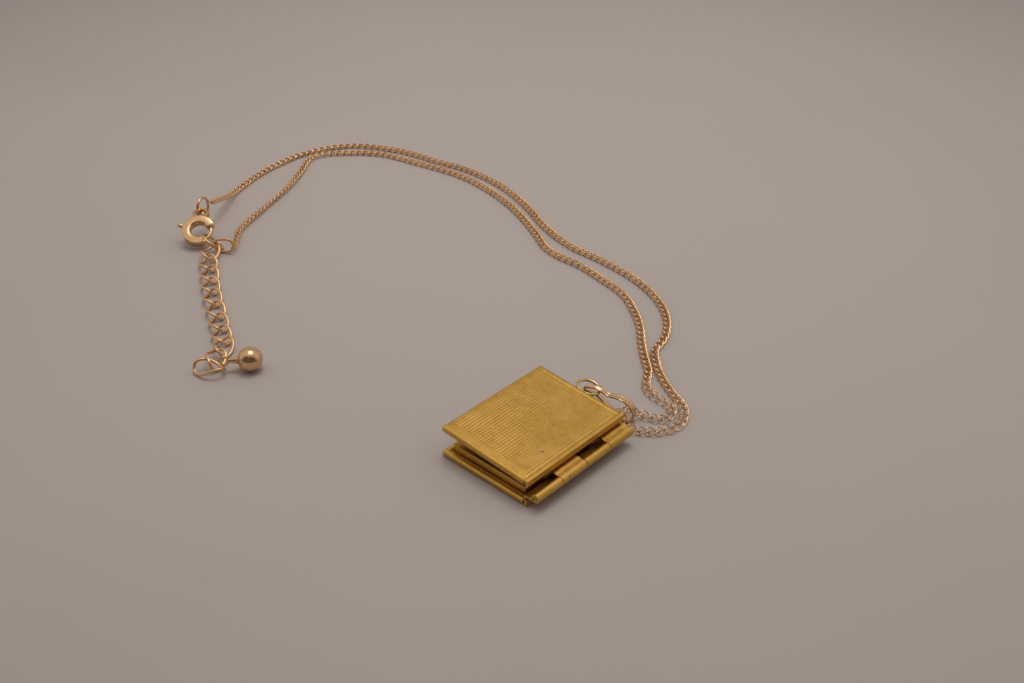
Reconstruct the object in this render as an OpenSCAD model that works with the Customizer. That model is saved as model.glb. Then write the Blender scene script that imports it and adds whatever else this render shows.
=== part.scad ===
// Book locket with a curb chain, a spring-ring clasp and an extension chain.
// The locket's back cover lies on the table. +X runs from the fore-edge to the spine,
// +Y from the tail to the head, +Z up, and the origin is the centre of the back cover's outer face.

/* [Locket] */
// Width of a cover, from the fore-edge to the spine
cover_w = 18; // [17:0.5:20]
// Length of a cover, from the tail to the head
cover_l = 23; // [22.8:0.1:23.2]
// Thickness of the closed locket
locket_t = 4.8; // [4.4:0.1:5.4]
// Thickness of the bead round each cover
rim_h = 1.15; // [1:0.05:1.3]
// Thickness of the cover's sheet
sheet_t = 0.45; // [0.35:0.05:0.6]
// Angle that the locket stands ajar
ajar = 3.6; // [2:0.1:5]
// Plan radius of the front cover's corners
front_corner_r = 0.8; // [0.7:0.05:1.2]
// Plan radius of the back cover's corners
back_corner_r = 0.9; // [0.7:0.05:1.2]

/* [Hinge] */
// Distance from the spine's wall to the hinge axis
hinge_out = 1.55; // [1.3:0.05:1.8]
// Distance from a cover's end to the hinge's end
hinge_inset = 0.2; // [0.1:0.05:1]
// Outer diameter of a knuckle
knuckle_d = 1.5; // [1.3:0.05:1.7]
// Gap between two knuckles
knuckle_gap = 0.06; // [0.04:0.01:0.2]
// Diameter of the hinge pin
pin_d = 0.7; // [0.5:0.05:0.8]
// Radial clearance round the pin
pin_clear = 0.03; // [0.02:0.01:0.05]
// Thickness of the strips that carry the knuckles
tab_t = 0.3; // [0.2:0.05:0.4]

/* [Frames] */
// Distance from a cover's edge to its inner frame
frame_inset = 1.33; // [1.3:0.01:1.6]
// Width of the frame's border round the window
frame_border = 2; // [1.5:0.1:3]
// Depth of the step round the window
frame_step = 0.35; // [0.2:0.05:0.6]

/* [Engraving] */
// Distance between two engine-turned lines
line_pitch = 0.573; // [0.4:0.001:0.9]
// Width of a line
line_w = 0.16; // [0.08:0.01:0.25]
// Depth of a line
line_depth = 0.05; // [0.03:0.01:0.1]
// Distance from the cover's edge to the border line
border_inset = 1.25; // [1.15:0.05:1.6]

/* [Ring and bail] */
// Centreline radius of the fixed ring
ring_r = 1.9; // [1.8:0.05:2]
// Wire diameter of the fixed ring
ring_wire = 0.5; // [0.4:0.05:0.55]
// Angle that the fixed ring dips away from the cover
ring_dip = 8; // [4:1:10]
// Angle that the fixed ring leans towards the spine
ring_lean = 8; // [6:1:10]
// Width of the bail's strip at its bow
bail_w = 1.4; // [1.2:0.05:1.5]
// Width of the bail's strip at the fixed ring
bail_tip_w = 0.7; // [0.5:0.05:0.9]
// Thickness of the bail's strip
bail_t = 0.34; // [0.26:0.02:0.36]
// Direction that the bail points, from the fore-edge-to-spine line
bail_turn = 17; // [15:0.5:18]

/* [Chain] */
// Outer diameter of the curb chain
chain_d = 1.6; // [1.5:0.05:1.65]

/* [Clasp] */
// Outer diameter of the clasp's ring
clasp_d = 6.6; // [6.4:0.05:6.7]
// Thickness of the clasp's tube
clasp_tube = 1.7; // [1.6:0.05:1.75]
// Diameter of the bolt
bolt_d = 0.72; // [0.6:0.02:0.8]
// Radial clearance round the bolt
bolt_clear = 0.06; // [0.04:0.01:0.08]
// Angle of the ring that the bolt closes
clasp_gap = 76; // [72:1:80]
// Slope of the clasp, which leans on the end ring
clasp_tilt = 30.5; // [29:0.5:32]
// Outer diameter of the lug
lug_d = 3.4; // [3.2:0.05:3.5]
// Angle that the lug is bent back from the clasp's ring
lug_bend = 27; // [24:1:30]
// Outer diameter of the jump ring
jump_d = 4.2; // [4:0.05:4.3]
// Wire diameter of the jump ring
jump_wire = 0.55; // [0.45:0.05:0.6]
// Outer diameter of the end ring
end_ring_d = 5.2; // [5.1:0.05:5.3]
// Wire diameter of the end ring and the strand ring
end_wire = 0.5; // [0.4:0.05:0.5]

/* [Extension] */
// Outer length of an extension link
ext_l = 6; // [5.9:0.05:6.1]
// Outer width of an extension link
ext_w = 3.9; // [3.6:0.05:4]
// Wire diameter of an extension link
ext_wire = 0.55; // [0.45:0.05:0.6]
// Diameter of the end ball
ball_d = 4.4; // [4.2:0.1:4.6]

/* [Hidden] */
$fn = 48;

brass = [0.75, 0.57, 0.25];
pale_brass = [0.8, 0.68, 0.4];
rose_gold = [0.75, 0.5, 0.33];

// Clear gap between pieces that lie in one another
fit = 0.06;
// Depth that a cut reaches past a face
over = 0.1;

// Height of the cover's face over the bead's lowest line, and the plate's reach past that line
seam = 0.03;
plate_reach = 0.1;
rim_r = (rim_h - seam) / 2;
wall_t = sheet_t;
bead_end_x = cover_w / 2 - 0.8;
spine_end = cover_l / 2 - 0.12;
lip_in = rim_h - 0.06;
lip_t = 0.18;
lip_h = 0.85;
axis_x = cover_w / 2 + hinge_out;
axis_z = locket_t / 2;
hinge_l = cover_l - 2 * hinge_inset;
knuckle_l = hinge_l / 4;
frame_w = cover_w - 2 * frame_inset;
frame_l = cover_l - 2 * frame_inset;
frame_low = sheet_t + fit;
frame_h = axis_z - fit / 2 - frame_low;

// Centre of the fixed ring, before the cover is set ajar
ring_z = locket_t - 0.55 - ring_r * sin(ring_dip);
ring_y = cover_l / 2 + ring_r * cos(ring_dip);

// Route of the bail's strip in its upright plane: distance from the fixed ring's centre, height
bail_route = [
    [-0.6, 4.25], [-0.3, 4.6], [0.5, 4.85], [1.5, 4.9], [2.3, 4.7], [3, 4.4], [3.7, 4.2],
    [4.8, 4.25], [6, 4.2], [7.1, 3.75], [7.85, 2.9], [8.2, 1.8], [7.95, 0.8], [7.25, 0.25],
    [6.2, 0.4], [4.8, 1.2], [3.4, 2.3], [2.4, 3.1], [1.5, 3.6], [0.6, 3.8], [-0.3, 3.9]
];
bail_steps = 3;
bail_z0 = min([for (p = bail_route) p[1]]);

// The chain lies with this height of its centre
chain_z = chain_d / 2 * cos(22.5);
// Route of the chain from the clasp through the bail to the end rings: x, y, height above its lying height
chain_route = [
    [-99.3, 10.1, 4.5], [-101.6, 13.5, 3.1], [-104.5, 17.2, 1.4], [-108, 22, 0.2], [-111.2, 30.6, 0],
    [-112.5, 38.9, 0], [-112.3, 44.7, 0], [-110.4, 50.7, 0], [-106.1, 56.3, 0], [-97, 60.8, 0],
    [-85.8, 63, 0], [-77.4, 64.3, 0], [-67.4, 63.7, 0], [-57, 60.5, 0], [-47.1, 55.9, 0],
    [-38, 53.3, 0], [-29.8, 53, 0], [-21.4, 52, 0], [-15, 50, 0], [-10, 47.2, 0],
    [-6.4, 43.9, 0], [-3.9, 40.2, 0], [-2.8, 37.3, 0], [-2.2, 34.8, 0], [0.4, 31.6, 0],
    [3.9, 28.7, 0], [7.8, 26.3, 0], [10.5, 24.9, 0], [12.4, 23.4, 0], [13.8, 20.9, 0],
    [13.8, 18.4, 0], [12.8, 16.4, 0], [11, 14.7, 0], [9.2, 13.7, 0], [7.5, 13.6, 0.3],
    [6.3, 14.2, 1], [5.9, 15.4, 1.2], [6.3, 16.6, 0.8], [7.3, 17.45, 0.3], [8.7, 18.1, 0],
    [10.1, 18.6, 0], [11.3, 19.7, 0], [11.2, 21.5, 0], [10, 23, 0], [7.9, 23.3, 0],
    [5.4, 23.7, 0], [3.2, 25.2, 0], [0.9, 28.7, 0], [-1.8, 31.3, 0], [-5.3, 34.9, 0],
    [-8.8, 38.9, 0], [-13, 42.5, 0], [-18.4, 45.8, 0], [-25.3, 47.5, 0], [-31.2, 48.5, 0],
    [-36.5, 48.5, 0], [-41.4, 49.5, 0], [-46.9, 52.6, 0], [-57, 57.3, 0], [-67.2, 60.2, 0],
    [-77.4, 61.1, 0], [-88.6, 59.3, 0], [-99.2, 56.5, 0], [-106.5, 50.5, 0], [-109.2, 46.1, 0],
    [-108.8, 42.7, 0], [-105.1, 37.4, 0], [-100.4, 29.4, 0], [-96.7, 20.4, 0], [-93.2, 12.4, 0],
    [-90.4, 9.2, 0], [-87.5, 6.4, 0.05]
];
chain_sides = 8;

// Centre of the clasp's ring, and the direction of its lug from there
clasp_at = [-94.4, 3, 2.95];
clasp_turn = 136;
clasp_r = clasp_d / 2;
tube_r = clasp_tube / 2;
tube_line_r = clasp_r - tube_r;
bore_d = bolt_d + 2 * bolt_clear;
// Angles round the clasp's ring, from the lug towards the nub
gap_from = -72 - clasp_gap;
gap_to = -72;
nub_at = 70;
nub_travel = 60;
bolt_into = 4;
nub_out = 1.4;
nub_d = 0.95;
nub_stem = 0.5;
lug_hole_d = lug_d - 1.3;
lug_h = 1.1;
lug_joint = 0.25;

// Places of the rings by the clasp
jump_at = [-98.55, 7.3, 5.45];
jump_turn = 112;
jump_lean = -4;
end_ring_at = [-90.6, 3.45, 1.8];
end_ring_turn = -21;
end_ring_tilt = 139;
strand_ring_at = [-87.5, 4, 1.8];
strand_ring_turn = -142;
strand_ring_dip = 4;
strand_ring_roll = -91;
strand_ring_l = 4.5;
strand_ring_w = 3.3;

// Extension links in order: x, y, height of the centre, heading, roll
ext_links = [
    [-88.1, 1.2, 1.4, -50, 0], [-85.1, -1.6, 0.95, -32, 0], [-81.3, -4, 0.95, -32, 0],
    [-77.6, -6.4, 0.95, -32, 0], [-73.7, -8.7, 0.95, -30, 0], [-69.6, -10.9, 0.95, -29, 0],
    [-65.6, -13.1, 0.95, -29, 0], [-61.8, -15.2, 0.95, -30, 0], [-58.3, -17.3, 1.2, -46, -12],
    [-55.7, -20.8, 1.5, -51, -31], [-54.4, -23.1, 1.35, 32, 8]
];
link_sides = 14;
wire_sides = 6;
link_twist = -45;
ball_at = [-50.2, -17.4, ball_d / 2];
ball_turn = 230;
stem_l = 3.4;
eye_r = 0.8;
eye_wire = 0.4;

function unit(v) = v / norm(v);
function flat(lists) = [for (l = lists) for (v = l) v];

// Triangles between the rings of a swept body, n points in each of m rings, closed on itself or capped
function ring_faces(m, n, closed) = flat([
    for (i = [0 : closed ? m - 1 : m - 2]) for (j = [0 : n - 1])
        let (a = i * n + j, b = i * n + (j + 1) % n, c = (i + 1) % m * n + j, d = (i + 1) % m * n + (j + 1) % n)
        [[a, c, b], [b, c, d]]
]);
function cap_faces(m, n) = [
    [for (j = [0 : n - 1]) j],
    [for (j = [n - 1 : -1 : 0]) (m - 1) * n + j]
];

// Ring of points round a place p, where a body runs in direction t
function tube_ring(p, t, r, n) =
    let (side = unit(cross([0, 0, 1], t)), up = cross(t, side))
    [for (j = [0 : n - 1]) let (a = 360 * (j + 0.5) / n) p + r * (cos(a) * side + sin(a) * up)];

module tube_along(route, r, n) {
    last = len(route) - 1;
    rings = [
        for (i = [0 : last])
            let (t = unit(unit(route[min(i + 1, last)] - route[min(i, last - 1)])
                + unit(route[max(i, 1)] - route[max(i - 1, 0)])))
            tube_ring(route[i], t, r, n)
    ];
    polyhedron(flat(rings), concat(ring_faces(last + 1, n, false), cap_faces(last + 1, n)));
}

// A twisted curb link along X, centred on the origin
function link_line(t, a, b) =
    let (x = a * cos(t), y = b * sign(sin(t)) * pow(abs(sin(t)), 0.85), w = link_twist * x / a)
    [x, y * cos(w), y * sin(w)];

module curb_link(length, width, wire) {
    a = (length - wire) / 2;
    b = (width - wire) / 2;
    rings = [
        for (i = [0 : link_sides - 1])
            let (t = 360 * (i + 0.5) / link_sides, p = link_line(t, a, b),
                dir = unit(link_line(t + 2, a, b) - link_line(t - 2, a, b)),
                w = link_twist * p[0] / a,
                out = [cos(t) * b, sin(t) * a * cos(w), sin(t) * a * sin(w)],
                side = unit(out - (out * dir) * dir), up = cross(dir, side))
            [for (j = [0 : wire_sides - 1]) let (q = 360 * j / wire_sides) p + wire / 2 * (cos(q) * side + sin(q) * up)]
    ];
    polyhedron(flat(rings), ring_faces(link_sides, wire_sides, true));
}

// A round ring of wire, flat at the origin
module wire_ring(outer_d, wire) {
    rotate_extrude() translate([(outer_d - wire) / 2, 0]) circle(d = wire);
}

// A box with rounded corners, standing on the origin's level
module rounded_plate(w, l, r, h) {
    translate([-w / 2 + r, -l / 2, 0]) cube([w - 2 * r, l, h]);
    translate([-w / 2, -l / 2 + r, 0]) cube([w, l - 2 * r, h]);
    for (x = [-1, 1], y = [-1, 1]) translate([x * (w / 2 - r), y * (l / 2 - r), 0]) cylinder(r = r, h = h);
}

// A rounded corner of a cover's bead
module bead_corner(r) {
    rotate_extrude(angle = 90) intersection() {
        union() {
            translate([r - rim_r, seam + rim_r]) circle(r = rim_r);
            translate([0, seam]) square([r - rim_r, 2 * rim_r]);
        }
        square([r, rim_h]);
    }
}

// A bead along X on one end of a cover
module end_bead(corner_r) {
    translate([-cover_w / 2 + corner_r, 0, seam + rim_r]) rotate([0, 90, 0])
        cylinder(r = rim_r, h = bead_end_x + cover_w / 2 - corner_r);
}

// A cover's tray, its outer face down on the origin's level
module cover_tray(corner_r) {
    plate_in = rim_r - plate_reach;
    translate([-cover_w / 2 + plate_in, -cover_l / 2 + plate_in, 0])
        cube([cover_w - plate_in, cover_l - 2 * plate_in, sheet_t]);
    translate([bead_end_x - over, -spine_end, 0]) cube([cover_w / 2 - bead_end_x + over, 2 * spine_end, sheet_t]);
    translate([cover_w / 2 - wall_t, -spine_end, 0]) cube([wall_t, 2 * spine_end, rim_h]);
    for (side = [-1, 1]) {
        translate([0, side * (cover_l / 2 - rim_r), 0]) end_bead(corner_r);
        translate([-cover_w / 2 + corner_r, side * (cover_l / 2 - corner_r), 0])
            rotate([0, 0, side > 0 ? 90 : 180]) bead_corner(corner_r);
        translate([-cover_w / 2 + lip_in, side * (cover_l / 2 - lip_in - lip_t / 2) - lip_t / 2, 0])
            cube([bead_end_x + cover_w / 2 - lip_in, lip_t, lip_h]);
    }
    translate([-cover_w / 2 + rim_r, -cover_l / 2 + corner_r, seam + rim_r]) rotate([-90, 0, 0])
        cylinder(r = rim_r, h = cover_l - 2 * corner_r);
    translate([-cover_w / 2 + lip_in, -cover_l / 2 + lip_in, 0]) cube([lip_t, cover_l - 2 * lip_in, lip_h]);
}

// Two of the four knuckles, counted from the tail, with the strips that carry them
module knuckles(first) {
    for (k = [first, first + 2]) translate([0, (k - 2) * knuckle_l + knuckle_gap / 2, 0]) {
        length = knuckle_l - knuckle_gap;
        translate([axis_x, 0, axis_z]) rotate([-90, 0, 0]) cylinder(d = knuckle_d, h = length);
        translate([cover_w / 2 - wall_t - tab_t, 0, axis_z - knuckle_d / 2])
            cube([hinge_out + wall_t + tab_t, length, tab_t]);
        translate([cover_w / 2 - wall_t - tab_t, 0, sheet_t / 2])
            cube([tab_t + over, length, axis_z - knuckle_d / 2 + tab_t - sheet_t / 2]);
    }
}

// One leaf of the book with its knuckles bored for the pin
module leaf(first, corner_r) {
    difference() {
        union() {
            cover_tray(corner_r);
            knuckles(first);
        }
        translate([axis_x, -hinge_l / 2 - over, axis_z]) rotate([-90, 0, 0])
            cylinder(d = pin_d + 2 * pin_clear, h = hinge_l + 2 * over);
    }
}

// The engine-turned lines and their border, cut in a face at the origin's level
module line_cuts() {
    field_w = cover_w - 2 * border_inset - line_pitch;
    field_l = cover_l - 2 * border_inset - line_pitch;
    count = floor(field_w / line_pitch);
    for (i = [0 : count - 1])
        translate([(i - (count - 1) / 2) * line_pitch - line_w / 2, -field_l / 2, -over])
            cube([line_w, field_l, over + line_depth]);
    for (side = [-1, 1]) {
        translate([side * (cover_w / 2 - border_inset) - line_w / 2, -cover_l / 2 + border_inset, -over])
            cube([line_w, cover_l - 2 * border_inset, over + line_depth]);
        translate([-cover_w / 2 + border_inset, side * (cover_l / 2 - border_inset) - line_w / 2, -over])
            cube([cover_w - 2 * border_inset, line_w, over + line_depth]);
    }
}

// Sets a part of the front leaf ajar about the hinge
module set_ajar() {
    translate([axis_x, 0, axis_z]) rotate([0, ajar, 0]) translate([-axis_x, 0, -axis_z]) children();
}

// Turns a part of a leaf over to the front
module turned_over() {
    translate([0, 0, locket_t]) mirror([0, 0, 1]) children();
}

// An inner picture frame in its leaf, its window looking up
module picture_frame() {
    window_w = frame_w - 2 * frame_border;
    window_l = frame_l - 2 * frame_border;
    translate([0, 0, frame_low]) difference() {
        rounded_plate(frame_w, frame_l, 0.4, frame_h);
        translate([0, 0, -over]) rounded_plate(window_w, window_l, 1.2, frame_h + 2 * over);
        translate([0, 0, frame_h - frame_step])
            rounded_plate(window_w + 1.2, window_l + 1.2, 1.8, frame_step + over);
    }
}

module front_cover() {
    color(brass) set_ajar() {
        turned_over() difference() {
            leaf(1, front_corner_r);
            line_cuts();
        }
        translate([0, ring_y, ring_z]) rotate([-ring_dip, ring_lean, 0]) wire_ring(2 * ring_r + ring_wire, ring_wire);
    }
}

module back_cover() {
    color(brass) leaf(0, back_corner_r);
}

module hinge_pin() {
    color(brass) translate([axis_x, -hinge_l / 2, axis_z]) rotate([-90, 0, 0]) cylinder(d = pin_d, h = hinge_l);
}

module front_frame() {
    color(brass) set_ajar() turned_over() picture_frame();
}

module back_frame() {
    color(brass) picture_frame();
}

// A point of the bail's route, smoothed, and the strip's width there
function bail_point(i, f) =
    let (n = len(bail_route), a = bail_route[(i + n - 1) % n], b = bail_route[i % n],
        c = bail_route[(i + 1) % n], d = bail_route[(i + 2) % n])
    0.5 * (2 * b + (c - a) * f + (2 * a - 5 * b + 4 * c - d) * f * f + (3 * b - a - 3 * c + d) * f * f * f);
function bail_half_width(s) = (bail_tip_w + (bail_w - bail_tip_w) * min(1, max(0, (s - 1) / 5))) / 2;

module bail() {
    points = [for (i = [0 : len(bail_route) - 1]) for (f = [0 : bail_steps - 1]) bail_point(i, f / bail_steps)];
    count = len(points);
    rings = [
        for (i = [0 : count - 1])
            let (p = points[i], t = unit(points[(i + 1) % count] - points[(i + count - 1) % count]),
                out = [-t[1], t[0]], h = bail_half_width(p[0]),
                section = [[-h, 0], [-h / 2, -1], [h / 2, -1], [h, 0], [h / 2, 1], [-h / 2, 1]])
            [for (q = section) [p[0] + out[0] * q[1] * bail_t / 2, q[0], p[1] + out[1] * q[1] * bail_t / 2]]
    ];
    color(rose_gold) translate([0, cover_l / 2 + ring_r, 0]) rotate([0, 0, bail_turn])
        polyhedron(flat(rings), ring_faces(count, 6, true));
}

module chain() {
    color(rose_gold) tube_along([for (p = chain_route) [p[0], p[1], p[2] + chain_z]], chain_d / 2, chain_sides);
}

// Sets a part of the clasp at its place
module clasp_place() {
    translate(clasp_at) rotate([0, 0, clasp_turn]) rotate([0, -clasp_tilt, 0]) children();
}

// The tube's section at the ring's centreline: crisp edges outside, broad slopes towards the hole
module tube_section() {
    edge = 0.15;
    slope = tube_r * 0.55;
    translate([tube_line_r, 0]) polygon([
        [-tube_r, -tube_r + slope], [-tube_r + slope, -tube_r], [tube_r - edge, -tube_r], [tube_r, -tube_r + edge],
        [tube_r, tube_r - edge], [tube_r - edge, tube_r], [-tube_r + slope, tube_r], [-tube_r, tube_r - slope]
    ]);
}

// Sets a shape, centred on the origin, at the lug's place
module lug_place() {
    translate([clasp_r - lug_joint, 0, 0]) rotate([0, lug_bend, 0]) translate([lug_d / 2, 0, 0]) children();
}

module clasp_ring() {
    color(rose_gold) clasp_place() difference() {
        union() {
            rotate([0, 0, gap_to]) rotate_extrude(angle = 360 - clasp_gap) tube_section();
            lug_place() translate([0, 0, -lug_h / 2]) cylinder(d = lug_d, h = lug_h);
        }
        rotate([0, 0, gap_to - 1]) rotate_extrude(angle = 362 - clasp_gap)
            translate([tube_line_r, 0]) circle(d = bore_d);
        lug_place() translate([0, 0, -lug_h]) cylinder(d = lug_hole_d, h = 2 * lug_h);
        rotate([0, 0, nub_at - 9]) rotate_extrude(angle = nub_travel + 18)
            translate([tube_line_r, -nub_stem / 2 - bolt_clear]) square([2 * tube_r, nub_stem + 2 * bolt_clear]);
    }
}

module clasp_bolt() {
    color(rose_gold) clasp_place() {
        rotate([0, 0, gap_from - bolt_into]) rotate_extrude(angle = nub_at + 6 - gap_from + bolt_into)
            translate([tube_line_r, 0]) circle(d = bolt_d);
        rotate([0, 0, nub_at]) translate([tube_line_r, 0, 0]) rotate([0, 90, 0]) {
            cylinder(d = nub_stem, h = tube_r + nub_out);
            translate([0, 0, tube_r + 0.12]) cylinder(d = nub_d, h = nub_out - 0.12);
        }
    }
}

module jump_ring() {
    color(rose_gold) translate(jump_at) rotate([90 + jump_lean, 0, jump_turn]) wire_ring(jump_d, jump_wire);
}

module end_ring() {
    color(rose_gold) translate(end_ring_at) rotate([end_ring_tilt, 0, end_ring_turn]) wire_ring(end_ring_d, end_wire);
}

// An oval ring: two half rings joined by straight wires
module strand_ring() {
    bow_r = (strand_ring_w - end_wire) / 2;
    reach = (strand_ring_l - strand_ring_w) / 2;
    color(rose_gold) translate(strand_ring_at) rotate([strand_ring_roll, strand_ring_dip, strand_ring_turn]) {
        for (side = [0, 180]) rotate([0, 0, side]) {
            translate([reach, 0, 0]) rotate([0, 0, -90]) rotate_extrude(angle = 180)
                translate([bow_r, 0]) circle(d = end_wire);
            translate([-reach, bow_r, 0]) rotate([0, 90, 0]) cylinder(d = end_wire, h = 2 * reach);
        }
    }
}

module extension_chain() {
    color(rose_gold) for (p = ext_links)
        translate([p[0], p[1], p[2]]) rotate([0, 0, p[3]]) rotate([p[4], 0, 0]) curb_link(ext_l, ext_w, ext_wire);
}

module drop_ball() {
    color(rose_gold) translate(ball_at) rotate([0, 0, ball_turn]) {
        sphere(d = ball_d);
        rotate([0, 90, 0]) cylinder(r1 = ball_d * 0.32, r2 = eye_wire * 0.8, h = ball_d / 2 + stem_l / 2);
        translate([ball_d / 2 + stem_l / 2 + eye_r - eye_wire / 2, 0, 0]) rotate([90, 0, 0])
            wire_ring(2 * eye_r + eye_wire, eye_wire);
    }
}

front_cover();
back_cover();
hinge_pin();
front_frame();
back_frame();
bail();
chain();
clasp_ring();
clasp_bolt();
jump_ring();
end_ring();
strand_ring();
extension_chain();
drop_ball();
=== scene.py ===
"""The book locket with its chain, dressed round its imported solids."""
import math

import bpy
import numpy as np
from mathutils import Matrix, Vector


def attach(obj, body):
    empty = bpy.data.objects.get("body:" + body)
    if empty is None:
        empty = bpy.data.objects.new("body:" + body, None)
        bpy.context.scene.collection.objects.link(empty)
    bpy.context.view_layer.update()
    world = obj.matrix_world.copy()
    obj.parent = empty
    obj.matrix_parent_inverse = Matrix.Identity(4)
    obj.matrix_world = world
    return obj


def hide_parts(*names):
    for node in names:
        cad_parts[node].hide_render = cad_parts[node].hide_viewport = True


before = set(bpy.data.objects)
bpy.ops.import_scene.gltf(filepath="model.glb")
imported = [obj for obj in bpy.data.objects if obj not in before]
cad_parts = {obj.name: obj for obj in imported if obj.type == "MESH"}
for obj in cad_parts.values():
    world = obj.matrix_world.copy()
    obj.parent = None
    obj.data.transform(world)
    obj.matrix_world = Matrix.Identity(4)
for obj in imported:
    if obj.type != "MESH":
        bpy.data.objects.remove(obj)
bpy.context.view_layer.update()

# Shapes are in millimetres, in the CAD's frame, until an object is made; camera and light are in metres
MM = 0.001

# The locket: its covers with their rims, then hinge, inner frames and engine-turned lines
COVER_W, COVER_L, LOCKET_T = 18.0, 23.0, 4.8
RIM_H, SHEET_T, SEAM = 1.15, 0.45, 0.03
RIM_R = (RIM_H - SEAM) / 2
FACE_X, FACE_Y = COVER_W / 2, COVER_L / 2
BEAD_END_X = FACE_X - 0.8
SPINE_END = FACE_Y - 0.12
CORNER_R, LIP_CORNER_R = 0.35, 0.3
AJAR = math.radians(3.6)
AXIS_X, AXIS_Z = FACE_X + 1.55, LOCKET_T / 2
HINGE_L, KNUCKLE_R, KNUCKLE_GAP, PIN_R = 22.6, 0.75, 0.03, 0.35
FRAME_INSET, FRAME_BORDER, FRAME_STEP = 1.33, 2.0, 0.35
FRAME_LOW = SHEET_T + 0.06
FRAME_H = AXIS_Z - 0.03 - FRAME_LOW
LINE_PITCH, FIRST_LINE, LINES = 0.573, -7.6, 27

# Steps of curves: between two points of a route, round a cover's corner and along its side, round a bead
ROUTE_STEPS, CORNER_STEPS, SIDE_STEPS, BEAD_STEPS = 24, 8, 26, 28
# Points round a ring and round its wire
RING_STEPS, WIRE_STEPS = 64, 14
SHARP = 35.0


# ---------------------------------------------------------------- vectors and meshes

def unit(v):
    v = np.asarray(v, float)
    return v / np.maximum(np.linalg.norm(v, axis=-1, keepdims=True), 1e-12)


def turn_x(deg):
    a = math.radians(deg)
    return np.array([[1, 0, 0], [0, math.cos(a), -math.sin(a)], [0, math.sin(a), math.cos(a)]])


def turn_y(deg):
    a = math.radians(deg)
    return np.array([[math.cos(a), 0, math.sin(a)], [0, 1, 0], [-math.sin(a), 0, math.cos(a)]])


def turn_z(deg):
    a = math.radians(deg)
    return np.array([[math.cos(a), -math.sin(a), 0], [math.sin(a), math.cos(a), 0], [0, 0, 1]])


def moved(shape, matrix=None, offset=(0, 0, 0)):
    verts, faces = shape
    if matrix is not None:
        verts = verts @ np.asarray(matrix).T
    return verts + np.asarray(offset, float), faces


def joined(*shapes):
    verts, faces, n = [], [], 0
    for v, f in shapes:
        verts.append(v)
        faces += [tuple(i + n for i in q) for q in f]
        n += len(v)
    return np.vstack(verts), faces


def loft(rings, closed=False):
    """Skin over rings of equal length, with end caps unless the last ring joins the first."""
    m, n = len(rings), len(rings[0])
    faces = []
    for i in range(m if closed else m - 1):
        for j in range(n):
            a, b = i * n + j, i * n + (j + 1) % n
            k = (i + 1) % m * n
            faces.append((a, b, k + (j + 1) % n, k + j))
    if not closed:
        faces += [tuple(range(n))[::-1], tuple((m - 1) * n + j for j in range(n))]
    return np.vstack(rings), faces


def outward(shape):
    """The same skin with its faces turned outward, by its signed volume."""
    verts, faces = shape
    volume = 0.0
    for f in faces:
        for k in range(1, len(f) - 1):
            volume += np.dot(verts[f[0]], np.cross(verts[f[k]], verts[f[k + 1]]))
    return shape if volume > 0 else (verts, [f[::-1] for f in faces])


def linked(obj):
    bpy.context.scene.collection.objects.link(obj)
    return obj


def shade(mesh, angle):
    mesh.shade_smooth()
    mesh.set_sharp_from_angle(angle=math.radians(angle))


def make(name, shape, material, angle=SHARP):
    """An object of a shape in millimetres, with edges sharper than the angle kept sharp."""
    verts, faces = outward(shape)
    mesh = bpy.data.meshes.new(name)
    mesh.from_pydata((verts * MM).tolist(), [], faces)
    mesh.validate()
    shade(mesh, angle)
    mesh.materials.append(material)
    return linked(bpy.data.objects.new(name, mesh))


def combine(name, base, others, material, angle):
    """One solid from a base shape and (operation, shape) pairs."""
    obj = make(name, base, material)
    tools = []
    for k, (operation, shape) in enumerate(others):
        tool = make(f"{name}_tool_{k}", shape, material)
        tools.append(tool)
        mod = obj.modifiers.new(f"m{k}", "BOOLEAN")
        mod.solver = "MANIFOLD"
        mod.operation = operation
        mod.object = tool
    bpy.context.view_layer.update()
    graph = bpy.context.evaluated_depsgraph_get()
    mesh = bpy.data.meshes.new_from_object(obj.evaluated_get(graph))
    obj.modifiers.clear()
    old = obj.data
    obj.data = mesh
    mesh.name = name
    bpy.data.meshes.remove(old)
    for tool in tools:
        data = tool.data
        bpy.data.objects.remove(tool)
        bpy.data.meshes.remove(data)
    shade(mesh, angle)
    return obj


def smooth_route(points, step, closed=False):
    """Points at even steps along a smooth curve through the given points."""
    p = np.asarray(points, float)
    n = len(p)
    if closed:
        ext = np.vstack([p[-1:], p, p[:2]])
    else:
        ext = np.vstack([2 * p[0] - p[1], p, 2 * p[-1] - p[-2]])
    out = []
    for i in range(n if closed else n - 1):
        a, b, c, d = ext[i], ext[i + 1], ext[i + 2], ext[i + 3]
        for f in np.linspace(0, 1, ROUTE_STEPS, endpoint=False):
            out.append(0.5 * (2 * b + (c - a) * f + (2 * a - 5 * b + 4 * c - d) * f ** 2
                              + (3 * b - a - 3 * c + d) * f ** 3))
    out.append(p[0] if closed else p[-1])
    out = np.array(out)
    run = np.r_[0, np.cumsum(np.linalg.norm(np.diff(out, axis=0), axis=1))]
    count = max(2, int(round(run[-1] / step)) + 1)
    at = np.linspace(0, run[-1], count)
    return np.stack([np.interp(at, run, out[:, k]) for k in range(out.shape[1])], 1)


def circle(r, n, start=0.0):
    a = np.radians(start) + 2 * np.pi * np.arange(n) / n
    return np.stack([r * np.cos(a), r * np.sin(a)], 1)


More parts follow.
